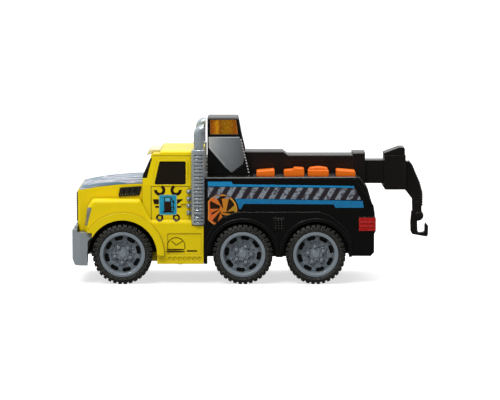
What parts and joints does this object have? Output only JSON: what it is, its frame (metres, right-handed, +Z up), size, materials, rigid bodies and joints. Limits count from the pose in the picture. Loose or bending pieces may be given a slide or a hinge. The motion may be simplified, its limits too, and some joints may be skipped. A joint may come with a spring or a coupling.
{
  "type": "toy tow truck",
  "caption": "Toy tow truck with long yellow cab, black bed, light tower, telescopic lifting boom, hanging hook and sound buttons on the deck.",
  "frame": {"origin": "on the ground, under the centre of the truck's overall length and width", "axes": "+X towards the nose, +Y towards the truck's left side, +Z up"},
  "size_m": [0.353, 0.116, 0.1616],
  "materials": {
    "axle_steel": "bright zinc-plated steel",
    "tyre_black": "matt black soft plastic with a faint mould sheen",
    "rim_grey": "silver-grey moulded plastic, light metallic flake",
    "cab_yellow": "glossy yellow moulded plastic",
    "glass_black": "glossy black plastic glazing",
    "lamp_smoke": "smoky grey lamp insert",
    "trim_black": "black trim plastic, satin",
    "visor_cream": "pale silver-cream plastic",
    "bumper_silver": "silver-grey moulded plastic",
    "stack_silver": "silver-grey moulded plastic",
    "bed_black": "glossy black moulded plastic",
    "deck_grey": "black tread plate, satin",
    "button_orange": "bright orange plastic, satin gloss",
    "pad_rubber": "grey silicone rubber",
    "board_green": "circuit board laminate",
    "speaker_black": "black speaker frame and cone",
    "lens_red": "translucent red lens",
    "lens_amber": "translucent amber lens",
    "boom_black": "black moulded plastic, satin gloss",
    "chassis_black": "black moulded plastic, fine texture",
    "cell_jacket": "printed battery jacket"
  },
  "bodies": {
    "truck": {"cab_shell": "cab_yellow", "windscreen": "glass_black", "left_side_window": "glass_black", "right_side_window": "glass_black", "left_headlight": "lamp_smoke", "right_headlight": "lamp_smoke", "left_hood_vent": "trim_black", "right_hood_vent": "trim_black", "sun_visor": "visor_cream", "grille": "trim_black", "front_bumper": "bumper_silver", "left_exhaust_stack": "stack_silver", "right_exhaust_stack": "stack_silver", "bed_shell": "bed_black", "left_deck_plate": "deck_grey", "right_deck_plate": "deck_grey", "button_pad": "pad_rubber", "circuit_board": "board_green", "speaker": "speaker_black", "left_tail_light": "lens_red", "right_tail_light": "lens_red", "light_tower": "bed_black", "beacon_lens": "lens_amber", "beacon_led": "board_green", "boom_pin": "axle_steel", "chassis": "chassis_black", "chassis_screws": "axle_steel", "battery_door": "chassis_black", "battery_door_screw": "axle_steel", "batteries": "cell_jacket", "battery_contacts": "axle_steel"},
    "front_wheels": {"front_axle": "axle_steel", "front_left_tyre": "tyre_black", "front_right_tyre": "tyre_black", "front_left_rim": "rim_grey", "front_right_rim": "rim_grey"},
    "middle_wheels": {"middle_axle": "axle_steel", "middle_left_tyre": "tyre_black", "middle_right_tyre": "tyre_black", "middle_left_rim": "rim_grey", "middle_right_rim": "rim_grey"},
    "rear_wheels": {"rear_axle": "axle_steel", "rear_left_tyre": "tyre_black", "rear_right_tyre": "tyre_black", "rear_left_rim": "rim_grey", "rear_right_rim": "rim_grey"},
    "boom_body": {"boom": "boom_black"},
    "boom_slide_body": {"boom_extension": "boom_black", "boom_head": "boom_black", "head_cap": "boom_black", "tow_arm": "boom_black", "hook_pin": "boom_black"},
    "hook_body": {"tow_hook": "boom_black"},
    "siren_key": {"siren_button": "button_orange"},
    "horn_key": {"horn_button": "button_orange"},
    "engine_key": {"engine_button": "button_orange"},
    "voice_key": {"voice_button": "button_orange"}
  },
  "joints": [
    {"name": "front_wheels_roll", "type": "hinge", "parent": "truck", "child": "front_wheels", "pos_m": [0.1267, 0, 0.0293], "axis": [0, 1, 0], "continuous": true},
    {"name": "middle_wheels_roll", "type": "hinge", "parent": "truck", "child": "middle_wheels", "pos_m": [0.0087, 0, 0.0293], "axis": [0, 1, 0], "continuous": true},
    {"name": "rear_wheels_roll", "type": "hinge", "parent": "truck", "child": "rear_wheels", "pos_m": [-0.0628, 0, 0.0293], "axis": [0, 1, 0], "continuous": true},
    {"name": "boom_lift", "type": "hinge", "parent": "truck", "child": "boom_body", "pos_m": [0.0097, 0, 0.112], "axis": [0, 1, 0], "range_deg": [0, 28]},
    {"name": "boom_extend", "type": "slide", "parent": "boom_body", "child": "boom_slide_body", "axis": [-1, 0, 0], "range_m": [-0.016, 0.035]},
    {"name": "hook_swing", "type": "hinge", "parent": "boom_slide_body", "child": "hook_body", "pos_m": [-0.1662, 0, 0.0624], "axis": [0, 1, 0], "range_deg": [-50, 50]},
    {"name": "siren_press", "type": "slide", "parent": "truck", "child": "siren_key", "axis": [0, 0, -1], "range_m": [0, 0.002], "stiffness_N_per_m": 400},
    {"name": "horn_press", "type": "slide", "parent": "truck", "child": "horn_key", "axis": [0, 0, -1], "range_m": [0, 0.002], "stiffness_N_per_m": 400},
    {"name": "engine_press", "type": "slide", "parent": "truck", "child": "engine_key", "axis": [0, 0, -1], "range_m": [0, 0.002], "stiffness_N_per_m": 400},
    {"name": "voice_press", "type": "slide", "parent": "truck", "child": "voice_key", "axis": [0, 0, -1], "range_m": [0, 0.002], "stiffness_N_per_m": 400}
  ]
}
